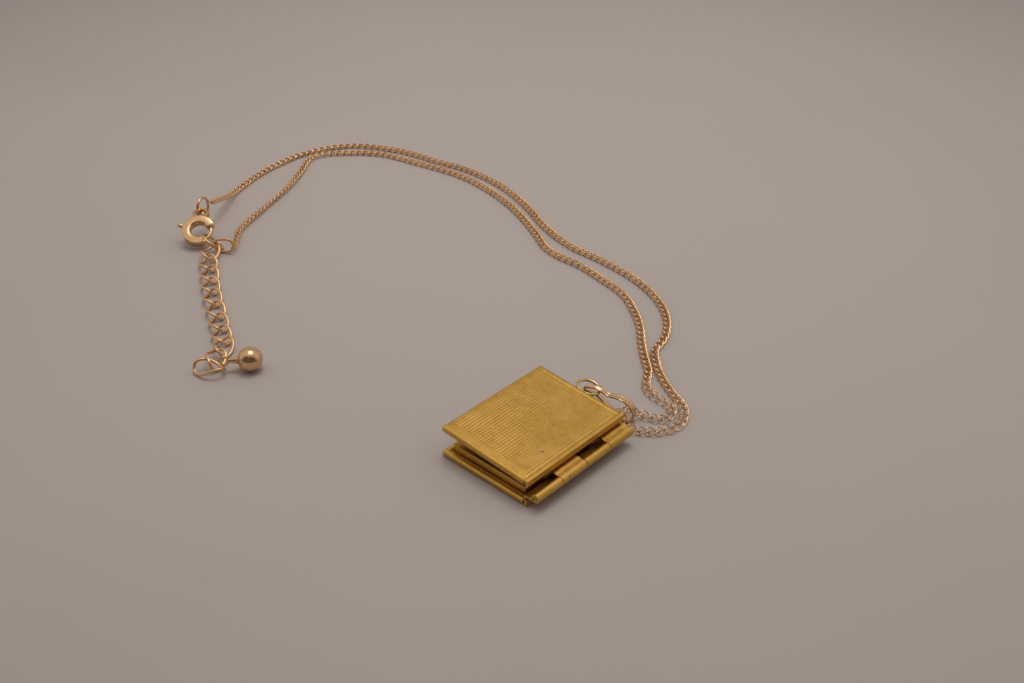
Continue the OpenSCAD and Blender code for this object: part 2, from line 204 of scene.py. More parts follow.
def around(line, section, closed=True):
    """Sweeps a section along a line of points; its first axis points sideways, its second up."""
    n = len(line)
    rings = []
    for i in range(n):
        a = line[(i - 1) % n] if closed or i else line[0]
        b = line[(i + 1) % n] if closed or i < n - 1 else line[-1]
        t = unit(b - a)
        side = unit(np.cross((0, 0, 1), t))
        top = np.cross(t, side)
        s = section[i] if np.ndim(section) == 3 else section
        rings.append(line[i] + s[:, :1] * side + s[:, 1:] * top)
    return loft(rings, closed=closed)


def wire_ring(radius, wire, n, m):
    """A closed ring of n points, its wire of m points."""
    line = np.c_[circle(radius, n), np.zeros(n)]
    return around(line, circle(wire / 2, m))


# ---------------------------------------------------------------- shader nodes

def node(tree, kind, **values):
    """A node whose inputs or settings are given by name."""
    n = tree.nodes.new(kind)
    for key, value in values.items():
        if key in n.inputs:
            n.inputs[key].default_value = value
        else:
            setattr(n, key, value)
    return n


def noise(tree, vector, **values):
    n = node(tree, "ShaderNodeTexNoise", **values)
    tree.links.new(vector, n.inputs["Vector"])
    return n.outputs["Fac"]


def ranged(tree, value, from_min, from_max, to_min, to_max, kind="LINEAR"):
    """The value mapped from one range to another."""
    n = node(tree, "ShaderNodeMapRange", interpolation_type=kind)
    limits = (("From Min", from_min), ("From Max", from_max), ("To Min", to_min), ("To Max", to_max))
    for key, limit in limits:
        n.inputs[key].default_value = limit
    tree.links.new(value, n.inputs["Value"])
    return n.outputs["Result"]


def ramp(tree, value, low, high):
    """A colour that goes with the value from one (position, colour) to the other."""
    n = node(tree, "ShaderNodeValToRGB")
    for element, (position, colour) in zip(n.color_ramp.elements, (low, high)):
        element.position = position
        element.color = (*colour, 1)
    tree.links.new(value, n.inputs["Fac"])
    return n.outputs["Color"]


def mixed(tree, factor, colour, other):
    """The colour of a socket, with the other colour where the factor is 1."""
    n = node(tree, "ShaderNodeMix", data_type="RGBA")
    tree.links.new(factor, n.inputs["Factor"])
    tree.links.new(colour, n.inputs[6])
    n.inputs[7].default_value = (*other, 1)
    return n.outputs[2]


def combined(tree, operation, a, b):
    n = node(tree, "ShaderNodeMath", operation=operation)
    tree.links.new(a, n.inputs[0])
    tree.links.new(b, n.inputs[1])
    return n.outputs["Value"]


def compared(tree, operation, vector, constant):
    """The distance or dot product of a vector and a constant one."""
    n = node(tree, "ShaderNodeVectorMath", operation=operation)
    tree.links.new(vector, n.inputs[0])
    n.inputs[1].default_value = constant
    return n.outputs["Value"]


# ---------------------------------------------------------------- materials

PATCH_SCALE, WEAR_SCALE, GRAIN_SCALE, SCRATCH_SCALE = 260.0, 900.0, 2700.0, 5400.0
DARK_PATCH, LIGHT_PATCH = 0.36, 0.62
# Occlusion where the grime and painted shade is full, and where it fades out
HOLLOW, OPEN = 0.25, 0.85
LEAST_ROUGH, MOST_ROUGH = 0.75, 1.3
SCRATCH_STRETCH, SCRATCH_TURN = (1.0, 0.06, 1.0), (0.0, 0.0, 0.6)
RELIEF = 0.00002
SPOT_COLOUR, SPOT_CORE = (0.13, 0.105, 0.09), 0.4


def metal(name, light, dark, grime_and_shade, roughness, bump=0.25, grime_and_shade_reach=0.35, grime_and_shade_amount=0.85,
          spots=()):
    """Plated brass: worn patches, fine scratches, grime and painted shade where the shape is hollow, and dark
    spots.
    """
    mat = bpy.data.materials.new(name)
    mat.use_nodes = True
    tree = mat.node_tree
    tree.nodes.clear()
    out = node(tree, "ShaderNodeOutputMaterial")
    bsdf = node(tree, "ShaderNodeBsdfPrincipled", Metallic=1.0)
    tree.links.new(bsdf.outputs["BSDF"], out.inputs["Surface"])
    place = node(tree, "ShaderNodeTexCoord").outputs["Object"]

    patches = noise(tree, place, Scale=PATCH_SCALE, Detail=6.0, Roughness=0.6)
    colour = ramp(tree, patches, (DARK_PATCH, dark), (LIGHT_PATCH, light))
    # Ambient occlusion darkens the colour in hollows: grime, and painted shade where less light reaches
    hollow = node(tree, "ShaderNodeAmbientOcclusion", samples=8, Distance=grime_and_shade_reach * MM)
    grime_and_shade_mask = ramp(tree, hollow.outputs["AO"], (HOLLOW, (grime_and_shade_amount,) * 3), (OPEN, (0, 0, 0)))
    colour = mixed(tree, grime_and_shade_mask, colour, grime_and_shade)
    for centre, radius, strength in spots:
        away = compared(tree, "DISTANCE", place, tuple(MM * c for c in centre))
        spot = ranged(tree, away, SPOT_CORE * radius * MM, radius * MM, strength, 0.0, "SMOOTHSTEP")
        colour = mixed(tree, spot, colour, SPOT_COLOUR)
    tree.links.new(colour, bsdf.inputs["Base Color"])

    wear = noise(tree, place, Scale=WEAR_SCALE, Detail=8.0, Roughness=0.65)
    rough = ranged(tree, wear, 0.3, 0.7, roughness * LEAST_ROUGH, roughness * MOST_ROUGH)
    tree.links.new(rough, bsdf.inputs["Roughness"])

    stretch = node(tree, "ShaderNodeMapping", Scale=SCRATCH_STRETCH, Rotation=SCRATCH_TURN)
    tree.links.new(place, stretch.inputs["Vector"])
    scratches = noise(tree, stretch.outputs["Vector"], Scale=SCRATCH_SCALE, Detail=3.0, Roughness=0.7)
    grain = noise(tree, place, Scale=GRAIN_SCALE, Detail=4.0, Roughness=0.6)
    relief = node(tree, "ShaderNodeBump", Strength=bump, Distance=RELIEF)
    tree.links.new(combined(tree, "ADD", scratches, grain), relief.inputs["Height"])
    tree.links.new(relief.outputs["Normal"], bsdf.inputs["Normal"])
    return mat


# Dark spots on the locket, where it lies: place, radius and strength
SPOTS = [
    ((5.97, -4.6, 4.98), 0.42, 0.7), ((8.35, -7.9, 4.84), 0.3, 0.35), ((-1.1, -3.4, 5.4), 0.26, 0.3),
    ((6.2, 3.4, 4.97), 0.28, 0.25), ((11.1, -4.1, 2.75), 0.3, 0.75),
]
# Light and dark colour of the chain's metal, and its colour of grime and painted shade in hollows
ROSE, ROSE_DARK, ROSE_GRIME_AND_SHADE = (0.78, 0.53, 0.31), (0.72, 0.46, 0.25), (0.36, 0.17, 0.075)
brass = metal("worn_brass", (0.67, 0.415, 0.107), (0.59, 0.355, 0.077), (0.40, 0.19, 0.06), 0.4,
              grime_and_shade_reach=0.3, grime_and_shade_amount=0.6, spots=SPOTS)
# A darker copy of the brass for the frames and pin inside the locket: its darker tones and near-black hollows
# are painted shade
brass_inside_shaded = metal("inner_brass_shaded", (0.62, 0.39, 0.10), (0.48, 0.285, 0.065), (0.14, 0.06, 0.014), 0.38)
pale_brass = metal("ring_brass", (0.74, 0.58, 0.33), (0.64, 0.49, 0.25), (0.36, 0.2, 0.07), 0.32,
                   bump=0.1)
rose = metal("rose_gold", (0.86, 0.57, 0.32), ROSE_DARK, ROSE_GRIME_AND_SHADE, 0.4,
             bump=0.06, grime_and_shade_reach=0.22, grime_and_shade_amount=0.45)
rose_polished = metal("rose_polished", ROSE, ROSE_DARK, ROSE_GRIME_AND_SHADE, 0.17,
                      bump=0.02, grime_and_shade_reach=0.22, grime_and_shade_amount=0.45)

# The floor carries a painted pool of light: palest at one place, in metres, and dimmed with the square of the
# distance from it
FLOOR_LOW, FLOOR_HIGH = (0.525, 0.49, 0.485), (0.565, 0.52, 0.51)
FLOOR_LIGHT_POOL_AT, FLOOR_POOL_REACH_SQUARED, FLOOR_POOL_EDGE_SHARE = (-0.07, 0.07, 0.0), 0.09, 0.4


def floor_material():
    mat = bpy.data.materials.new("pale_board")
    mat.use_nodes = True
    tree = mat.node_tree
    bsdf = tree.nodes["Principled BSDF"]
    bsdf.inputs["Roughness"].default_value = 0.7
    bsdf.inputs["Specular IOR Level"].default_value = 0.2
    place = node(tree, "ShaderNodeTexCoord").outputs["Object"]
    cloud = noise(tree, place, Scale=14.0, Detail=3.0)
    # Painted pool of light: the board's colour dims away from one place
    square = node(tree, "ShaderNodeMath", operation="POWER")
    tree.links.new(compared(tree, "DISTANCE", place, FLOOR_LIGHT_POOL_AT), square.inputs[0])
    square.inputs[1].default_value = 2.0
    painted_light_pool = ranged(tree, square.outputs["Value"], 0.0, FLOOR_POOL_REACH_SQUARED, 1.0, FLOOR_POOL_EDGE_SHARE)
    pooled_colour = node(tree, "ShaderNodeVectorMath", operation="SCALE")
    tree.links.new(ramp(tree, cloud, (0.0, FLOOR_LOW), (1.0, FLOOR_HIGH)), pooled_colour.inputs[0])
    tree.links.new(painted_light_pool, pooled_colour.inputs["Scale"])
    tree.links.new(pooled_colour.outputs["Vector"], bsdf.inputs["Base Color"])
    return mat


# ---------------------------------------------------------------- camera, light and floor

LENS, SENSOR = 42.39, 36.0
CAMERA_AT, CAMERA_TILT, CAMERA_TURN = (0.10005, -0.11258, 0.12005), 56.42, 42.9
FLOOR_HALF = 4
KEY_AT, KEY_TO = (-0.05, 0.15, 0.8), (-0.03, 0.02, 0)
KEY_SIZE, KEY_POWER, KEY_COLOUR = 0.45, 1.6, (1.0, 0.95, 0.88)

camera_data = bpy.data.cameras.new("camera")
camera_data.lens = LENS
camera_data.sensor_width = SENSOR
camera_data.clip_start = 0.005
camera_data.clip_end = 50.0
camera = linked(bpy.data.objects.new("camera", camera_data))
camera.location = CAMERA_AT
camera.rotation_euler = (math.radians(CAMERA_TILT), 0.0, math.radians(CAMERA_TURN))
bpy.context.scene.camera = camera

floor_mesh = bpy.data.meshes.new("floor")
corners = [(FLOOR_HALF * x, FLOOR_HALF * y, 0) for x, y in ((-1, -1), (1, -1), (1, 1), (-1, 1))]
floor_mesh.from_pydata(corners, [], [(0, 1, 2, 3)])
floor_mesh.materials.append(floor_material())
floor = linked(bpy.data.objects.new("floor", floor_mesh))

key_data = bpy.data.lights.new("key", "AREA")
key_data.shape = "DISK"
key_data.size = KEY_SIZE
key_data.energy = KEY_POWER
key_data.color = KEY_COLOUR
key = linked(bpy.data.objects.new("key", key_data))
key.location = KEY_AT
key.rotation_euler = (Vector(KEY_TO) - Vector(KEY_AT)).to_track_quat("-Z", "Y").to_euler()

SKY_LOW, SKY_HIGH, SKY_TOP = (0.50, 0.44, 0.39), (0.66, 0.585, 0.52), 0.9
NEAR_WALL, FAR_WALL, TOWARDS_NEAR = (0.12, 0.10, 0.085), (0.44, 0.40, 0.35), (0.68, -0.73, 0.0)


def room():
    """A bright ceiling over pale walls, dark on the near side and a little dimmer on the far one."""
    world = bpy.data.worlds.new("world")
    world.use_nodes = True
    tree = world.node_tree
    direction = node(tree, "ShaderNodeTexCoord").outputs["Generated"]
    split = node(tree, "ShaderNodeSeparateXYZ")
    tree.links.new(direction, split.inputs["Vector"])
    height = split.outputs["Z"]
    colour = ramp(tree, height, (0.0, SKY_LOW), (SKY_TOP, SKY_HIGH))
    nearness = compared(tree, "DOT_PRODUCT", direction, TOWARDS_NEAR)
    for across, below, wall in (((0.15, 0.55, 0, 1), (0.75, 0.95, 1, 0), NEAR_WALL),
                                ((-0.75, -0.3, 1, 0), (0.7, 0.9, 1, 0), FAR_WALL)):
        amount = combined(tree, "MULTIPLY", ranged(tree, nearness, *across, "SMOOTHSTEP"),
                          ranged(tree, height, *below, "SMOOTHSTEP"))
        colour = mixed(tree, amount, colour, wall)
    tree.links.new(colour, tree.nodes["Background"].inputs["Color"])
    return world


bpy.context.scene.world = room()
bpy.context.scene.view_settings.view_transform = "Standard"


# ---------------------------------------------------------------- covers

def set_ajar(shape):
    """The shape turned about the hinge's pin, as far as the book stands open."""
    verts, faces = shape
    x, z = verts[:, 0] - AXIS_X, verts[:, 2] - AXIS_Z
    c, s = math.cos(AJAR), math.sin(AJAR)
    return np.stack([AXIS_X + x * c + z * s, verts[:, 1], AXIS_Z - x * s + z * c], 1), faces


def turned_over(shape):
    verts, faces = shape
    return verts * (1, 1, -1) + (0, 0, LOCKET_T), [f[::-1] for f in faces]


def front_leaf(shape):
    return set_ajar(turned_over(shape))


def back_leaf(shape):
    """The lower leaf is modelled where it lies."""
    return shape


def u_sweep(section, corner_r):
    """A section of (distance from the edge, height) along the tail, the fore-edge and the head."""
    x0, x1, y1 = -FACE_X, BEAD_END_X, FACE_Y
    stations = []
    for x in np.linspace(x1, x0 + corner_r, SIDE_STEPS, endpoint=False):
        stations.append(((x, -y1), (0, 1), None))
    for a in np.linspace(270, 180, CORNER_STEPS + 1):
        stations.append((None, None, (x0 + corner_r, -y1 + corner_r, a)))
    for y in np.linspace(-y1 + corner_r, y1 - corner_r, SIDE_STEPS)[1:-1]:
        stations.append(((x0, y), (1, 0), None))
    for a in np.linspace(180, 90, CORNER_STEPS + 1):
        stations.append((None, None, (x0 + corner_r, y1 - corner_r, a)))
    for x in np.linspace(x0 + corner_r, x1, SIDE_STEPS + 1)[1:]:
        stations.append(((x, y1), (0, -1), None))
    rings = []
    for point, inward, corner in stations:
        ring = []
        for d, z in section:
            if corner is None:
                ring.append((point[0] + inward[0] * d, point[1] + inward[1] * d, z))
                continue
            cx, cy, a = corner
            c, s = math.cos(math.radians(a)), math.sin(math.radians(a))
            if d <= corner_r:
                ring.append((cx + (corner_r - d) * c, cy + (corner_r - d) * s, z))
            else:
                ring.append((cx + (d - corner_r), cy + (d - corner_r) * (1 if cy < 0 else -1), z))
        rings.append(np.array(ring))
    return loft(rings)


def height_plate(xs, ys, low, high):
    """A solid between two height grids over the same xs and ys."""
    nx, ny = len(xs), len(ys)
    gx, gy = np.meshgrid(xs, ys, indexing="ij")
    verts = np.vstack([np.stack([gx, gy, z], 2).reshape(-1, 3) for z in (low, high)])
    n = nx * ny
    faces = []
    for i in range(nx - 1):
        for j in range(ny - 1):
            a, b, c, d = i * ny + j, (i + 1) * ny + j, (i + 1) * ny + j + 1, i * ny + j + 1
            faces += [(d, c, b, a), (n + a, n + b, n + c, n + d)]
    edge = [i * ny for i in range(nx)] + [(nx - 1) * ny + j for j in range(1, ny)]
    edge += [i * ny + ny - 1 for i in range(nx - 2, -1, -1)] + [j for j in range(ny - 2, 0, -1)]
    for a, b in zip(edge, edge[1:] + edge[:1]):
        faces.append((a, b, n + b, n + a))
    return verts, faces


def smoothstep(a, b, x):
    t = np.clip((x - a) / (b - a), 0, 1)
    return t * t * (3 - 2 * t)


def dent(x, y, cx, cy, rx, ry, depth, angle):
    """Depth at (x, y) of a dent at (cx, cy) with half widths rx and ry."""
    c, s = math.cos(angle), math.sin(angle)
    u, v = (x - cx) * c + (y - cy) * s, -(x - cx) * s + (y - cy) * c
    return depth * np.exp(-(u / rx) ** 2 - (v / ry) ** 2)


# Small dents and pits of the front face: x, y, half widths, depth, angle
MARKS = [
    (5.8, -4.6, 0.26, 0.16, 0.05, 0.7), (5.7, 3.6, 0.2, 0.16, 0.03, 0), (2.5, 0.5, 0.25, 0.14, 0.035, 0),
    (-5.6, 0.1, 0.35, 0.25, 0.02, 0), (-2.1, -4.4, 0.16, 0.12, 0.03, 0.5), (8.45, -7.8, 0.2, 0.25, 0.035, 0),
    (0.1, -9.2, 0.3, 0.2, 0.03, 0), (3.5, 8.9, 0.2, 0.2, 0.02, 0), (6.4, 6.2, 0.5, 0.8, 0.012, 0.4),
    (3.0, 5.2, 0.9, 0.6, 0.012, 0.2), (-3.4, 7.4, 0.7, 0.5, 0.012, 0), (1.2, -6.2, 0.4, 0.9, 0.010, 0.3),
]


SWELL = 0.012
# Depth of the face near its rim, by the distance from the edge
RIM_STEP = (0.62, 0.72, 1.0, 1.15), (0.06, 0.03, 0.025, 0)
ENGRAVED_DEPTH, ENGRAVED_HALF, ENGRAVED_END, ENGRAVED_LAST_X = 0.027, 0.085, 9.75, 7.4
# Lines along the tail and the head, then along the fore edge and the spine: place, half width, depth
CROSS_LINES = (-10.25, 0.07, 0.028), (-9.95, 0.07, 0.022), (10.66, 0.15, -0.08)
LONG_LINES = (-7.86, 0.07, 0.012), (7.45, 0.09, 0.02), (7.72, 0.09, -0.022)


def band(x, low, high, ease):
    """1 between low and high, eased to 0 within the given distance inside them."""
    return smoothstep(low, low + ease, x) * (1 - smoothstep(high - ease, high, x))


def face_depth(x, y, engraved):
    """How far the outer face lies below its level."""
    d = np.minimum(np.minimum(x + FACE_X, FACE_Y - y), FACE_Y + y)
    swell = np.sin(0.42 * x + 0.8) * np.cos(0.31 * y - 0.5) + 1
    depth = SWELL * swell * smoothstep(1.1, 2.5, d) + np.interp(d, *RIM_STEP)
    if not engraved:
        return depth
    # The engraved lines are worn away towards the spine, sooner near the head
    reach = np.interp(y, (-10, 0, 10), (5.0, 2.2, 0.4)) + 0.7 * np.sin(0.8 * y)
    field = (1 - smoothstep(reach - 2.5, reach + 2.5, x)) * np.interp(y, (-8, 8), (1.1, 0.75))
    field = field * band(y, -ENGRAVED_END, ENGRAVED_END, 0.15)
    off = (x - FIRST_LINE + LINE_PITCH / 2) % LINE_PITCH - LINE_PITCH / 2
    inside = (x > FIRST_LINE - 0.2) & (x < ENGRAVED_LAST_X)
    depth = depth + ENGRAVED_DEPTH * np.exp(-(off / ENGRAVED_HALF) ** 2) * field * inside
    for lines, q, reach in ((CROSS_LINES, y, band(x, -8.0, 8.0, 0.3)),
                            (LONG_LINES, x, band(y, -10.3, 10.5, 0.3))):
        for centre, half, amount in lines:
            depth = depth + amount * np.exp(-((q - centre) / half) ** 2) * reach
    for mark in MARKS:
        depth = depth + dent(x, y, *mark)
    return depth


def spread(lo, hi, step):
    return np.linspace(lo, hi, max(2, int(round((hi - lo) / step)) + 1))


def plate(engraved):
    """The cover's flat sheet, its outer face down, on a grid that is finer at its lines."""
    x0, y0, x1 = -FACE_X + 0.62, -FACE_Y + 0.62, 8.13
    if engraved:
        offsets = np.array([-0.17, -0.085, -0.04, 0, 0.04, 0.085, 0.17, LINE_PITCH / 2])
        lines = (FIRST_LINE + LINE_PITCH * np.arange(LINES)[:, None] + offsets).ravel()
        xs = [spread(x0, -7.8, 0.07), lines, spread(7.62, x1, 0.06)]
        ys = [spread(*run) for run in (
            (y0, -10.5, 0.08), (-10.45, -9.55, 0.05), (-9.4, 9.4, 0.35), (9.5, 9.8, 0.06),
            (9.95, 10.5, 0.15), (10.53, -y0, 0.04), (-5.0, -4.2, 0.06))]
    else:
        xs = [spread(x0, -7.7, 0.1), spread(-7.5, x1, 0.5)]
        ys = [spread(y0, -10.3, 0.1), spread(-10.1, 10.1, 0.5), spread(10.3, -y0, 0.1)]
    xs, ys = (np.unique(np.round(np.concatenate(q), 4)) for q in (xs, ys))
    gx, gy = np.meshgrid(xs, ys, indexing="ij")
    low = np.clip(face_depth(gx, gy, engraved), -0.09 if engraved else 0.002, 0.3)
    return height_plate(xs, ys, low + 0.05 * smoothstep(7.98, x1, gx), np.full_like(gx, SHEET_T))


def profile_along_y(section, y0, y1, bevel):
    """A closed (x, z) section drawn along Y with softened ends."""
    section = np.asarray(section, float)
    prev, nxt = np.roll(section, 1, 0), np.roll(section, -1, 0)
    area = 0.5 * np.sum(section[:, 0] * nxt[:, 1] - nxt[:, 0] * section[:, 1])
    t = unit(nxt - prev)
    inward = np.stack([-t[:, 1], t[:, 0]], 1) * (1 if area > 0 else -1)
    small = section + inward * bevel
    ys = [y0, *np.linspace(y0 + bevel, y1 - bevel, 4), y1]
    rings = []
    for k, y in enumerate(ys):
        s = small if k in (0, len(ys) - 1) else section
        rings.append(np.stack([s[:, 0], np.full(len(s), y), s[:, 1]], 1))
    return loft(rings)


def arc(cx, cy, r, a0, a1, n):
    a = np.radians(np.linspace(a0, a1, n))
    return [(cx + r * math.cos(q), cy + r * math.sin(q)) for q in a]


def spine_section():
    """The spine's edge strip and wall, its outer face down."""
    x1, t = FACE_X, SHEET_T
    return ([(8.08, 0.10), (8.2, 0.045), (8.34, 0.01), (8.5, 0.0), (8.62, 0.012), (8.74, 0.012)]
            + arc(x1 - 0.2, 0.2, 0.2, -80, 0, 6)
            + [(x1, 0.42), (x1 - 0.035, 0.48), (x1 - 0.035, 0.56), (x1, 0.62)]
            + arc(x1 - 0.09, RIM_H - 0.09, 0.09, 0, 90, 4)
            + arc(x1 - t + 0.07, RIM_H - 0.07, 0.07, 90, 180, 4) + [(x1 - t, SHEET_T), (8.08, SHEET_T)])


def knuckle_section():
    """A hinge strip from inside the spine's wall, rolled round the pin: one curled sheet."""
    t, r = 0.3, KNUCKLE_R
    z = AXIS_Z - r
    inner = PIN_R + 0.035
    rise = [(8.9, 0), (9.12, -0.035), (9.35, -0.02), (9.6, 0.03),
            (9.85, 0.05), (10.1, 0.03), (10.35, 0.004)]
    outer_line = ([(8.57, t), (8.57, z - 0.1), (8.6, z - 0.03), (8.67, z)]
                  + [(x, z + q) for x, q in rise] + arc(AXIS_X, AXIS_Z, r, -85, 212, 34))
    inner_line = (arc(AXIS_X, AXIS_Z, inner, 206, -88, 26)
                  + [(10.2, z + t + 0.02), (9.6, z + t + 0.03), (9.0, z + t), (8.72, z + t)]
                  + arc(8.57, z, t, 90, 180, 5) + [(8.57 - t, t)])
    return outer_line + inner_line


def knuckle(k):
    """The hinge strip at place k of four, counted from the tail."""
    length = HINGE_L / 4
    y0 = (k - 2) * length + KNUCKLE_GAP
    return profile_along_y(knuckle_section(), y0, y0 + length - 2 * KNUCKLE_GAP, 0.04)


def bead_section():
    """The rim's bead, a little squarer than a circle."""
    a = 2 * np.pi * (np.arange(BEAD_STEPS) + 0.5) / BEAD_STEPS
    x, z = (RIM_R * np.sign(q) * np.abs(q) ** (2 / 2.35) for q in (np.cos(a), np.sin(a)))
    return [(RIM_R + p, SEAM + RIM_R + q) for p, q in zip(x, z)]


def lip_section():
    """The rim's thin inner lip."""
    d0, d1 = RIM_H - 0.04, RIM_H + 0.12
    top = 0.95 - (d1 - d0) / 2
    return [(d0, 0.25)] + arc((d0 + d1) / 2, top, (d1 - d0) / 2, 180, 0, 7) + [(d1, 0.25)]


def cover(name, first_knuckle, engraved, leaf):
    """One cover of the book, with every second knuckle of the hinge."""
    parts = [
        u_sweep(bead_section(), CORNER_R),
        u_sweep(lip_section(), LIP_CORNER_R),
        profile_along_y(spine_section(), -SPINE_END, SPINE_END, 0.06),
        knuckle(first_knuckle),
        knuckle(first_knuckle + 2),
    ]
    return combine(name, leaf(plate(engraved)), [("UNION", outward(leaf(part))) for part in parts], brass, 32)


front_cover = cover("front_cover_worn", 1, True, front_leaf)
back_cover = cover("back_cover_worn", 0, False, back_leaf)

# The pin's radius, and how far in from its end
PIN_END = (0.22, 0), (PIN_R - 0.03, 0.06), (PIN_R, 0.14)


def hinge_pin():
    rows = [(r, -HINGE_L / 2 + d) for r, d in PIN_END] + [(r, HINGE_L / 2 - d) for r, d in PIN_END[::-1]]
    rounds = [(circle(r, 24), y) for r, y in rows]
    return loft([np.c_[AXIS_X + c[:, 0], np.full(24, y), AXIS_Z + c[:, 1]] for c, y in rounds])


pin = make("hinge_pin_worn", hinge_pin(), brass_inside_shaded)


# ---------------------------------------------------------------- inner frames

def rounded_outline(w, l, r, z):
    out = []
    for cx, cy, a0 in ((w / 2 - r, l / 2 - r, 0), (-w / 2 + r, l / 2 - r, 90),
                       (-w / 2 + r, -l / 2 + r, 180), (w / 2 - r, -l / 2 + r, 270)):
        out += [(x, y, z) for x, y in arc(cx, cy, r, a0, a0 + 90, 7)]
    return np.array(out)


def picture_frame():
    """A frame with a stepped window, made of outlines: growth, corner radius, height."""
    w, l = COVER_W - 2 * FRAME_INSET, COVER_L - 2 * FRAME_INSET
    window_w, window_l = w - 2 * FRAME_BORDER, l - 2 * FRAME_BORDER
    z0, z1 = FRAME_LOW, FRAME_LOW + FRAME_H
    step = z1 - FRAME_STEP
    outer = [(-0.1, 0.4, z0), (0, 0.4, z0 + 0.05), (0, 0.4, z1 - 0.14),
             (-0.08, 0.38, z1 - 0.04), (-0.28, 0.32, z1)]
    window = [(1.5, 1.9, z1 - 0.02), (1.28, 1.85, z1 - 0.07), (1.2, 1.8, z1 - 0.16), (1.2, 1.8, step),
              (0.16, 1.25, step), (0.02, 1.2, step - 0.05), (0, 1.2, step - 0.14), (0, 1.2, z0)]
    return loft([rounded_outline(w + g, l + g, r, z) for g, r, z in outer]
                + [rounded_outline(window_w + g, window_l + g, r, z) for g, r, z in window], closed=True)


front_frame = make("front_frame_worn", front_leaf(picture_frame()), brass_inside_shaded)
back_frame = make("back_frame_worn", picture_frame(), brass_inside_shaded)


# ---------------------------------------------------------------- fixed ring and bail

RING_R, RING_WIRE, RING_DIP, RING_LEAN, RING_DROP = 1.9, 0.56, 8.0, 8.0, 0.55
ring_at = (0, FACE_Y + RING_R * math.cos(math.radians(RING_DIP)),
           LOCKET_T - RING_DROP - RING_R * math.sin(math.radians(RING_DIP)))
ring_turned = turn_y(RING_LEAN) @ turn_x(-RING_DIP)
ring_shape = moved(wire_ring(RING_R, RING_WIRE, 72, 16), ring_turned, ring_at)
fixed_ring = make("fixed_ring", set_ajar(ring_shape), pale_brass)

# The bail's loop seen from its side: along and up
BAIL_ROUTE = [
    (-0.6, 4.25), (-0.3, 4.6), (0.5, 4.85), (1.5, 4.9), (2.3, 4.7), (3, 4.4), (3.7, 4.2),
    (4.8, 4.25), (6, 4.2), (7.1, 3.75), (7.85, 2.9), (8.2, 1.8), (7.95, 0.8), (7.25, 0.25),
    (6.2, 0.4), (4.8, 1.2), (3.4, 2.3), (2.4, 3.1), (1.5, 3.6), (0.6, 3.8), (-0.3, 3.9),
]
BAIL_W, BAIL_TIP_W, BAIL_T, BAIL_TURN, BAIL_STEP = 1.4, 0.7, 0.34, 17.0, 0.16
BAIL_TAPER_AT, BAIL_TAPER_L = 1, 5
# The strip's section as shares of its half width and half thickness, with a groove in its outer face
BAIL_SECTION = np.array([
    (-1, 0), (-0.93, 0.75), (-0.72, 1.0), (-0.42, 0.85), (0, 0.3), (0.42, 0.85), (0.72, 1.0), (0.93, 0.75),
    (1, 0), (0.93, -0.75), (0.6, -1), (0.2, -1), (-0.2, -1), (-0.6, -1), (-0.93, -0.75),
])


def bail():
    line = smooth_route(BAIL_ROUTE, BAIL_STEP, closed=True)[:-1]
    across, thick = BAIL_SECTION.T
    rings = []
    for i, (x, z) in enumerate(line):
        t = unit(line[(i + 1) % len(line)] - line[i - 1])
        taper = np.clip((x - BAIL_TAPER_AT) / BAIL_TAPER_L, 0, 1)
        half = (BAIL_TIP_W + (BAIL_W - BAIL_TIP_W) * taper) / 2
        out = thick * BAIL_T / 2
        rings.append(np.stack([x - t[1] * out, across * half, z + t[0] * out], 1))
    return moved(loft(rings, closed=True), turn_z(BAIL_TURN), (0, FACE_Y + RING_R, 0))


bail_piece = make("bail_strip", bail(), rose_polished, 50)


# ---------------------------------------------------------------- curb chain

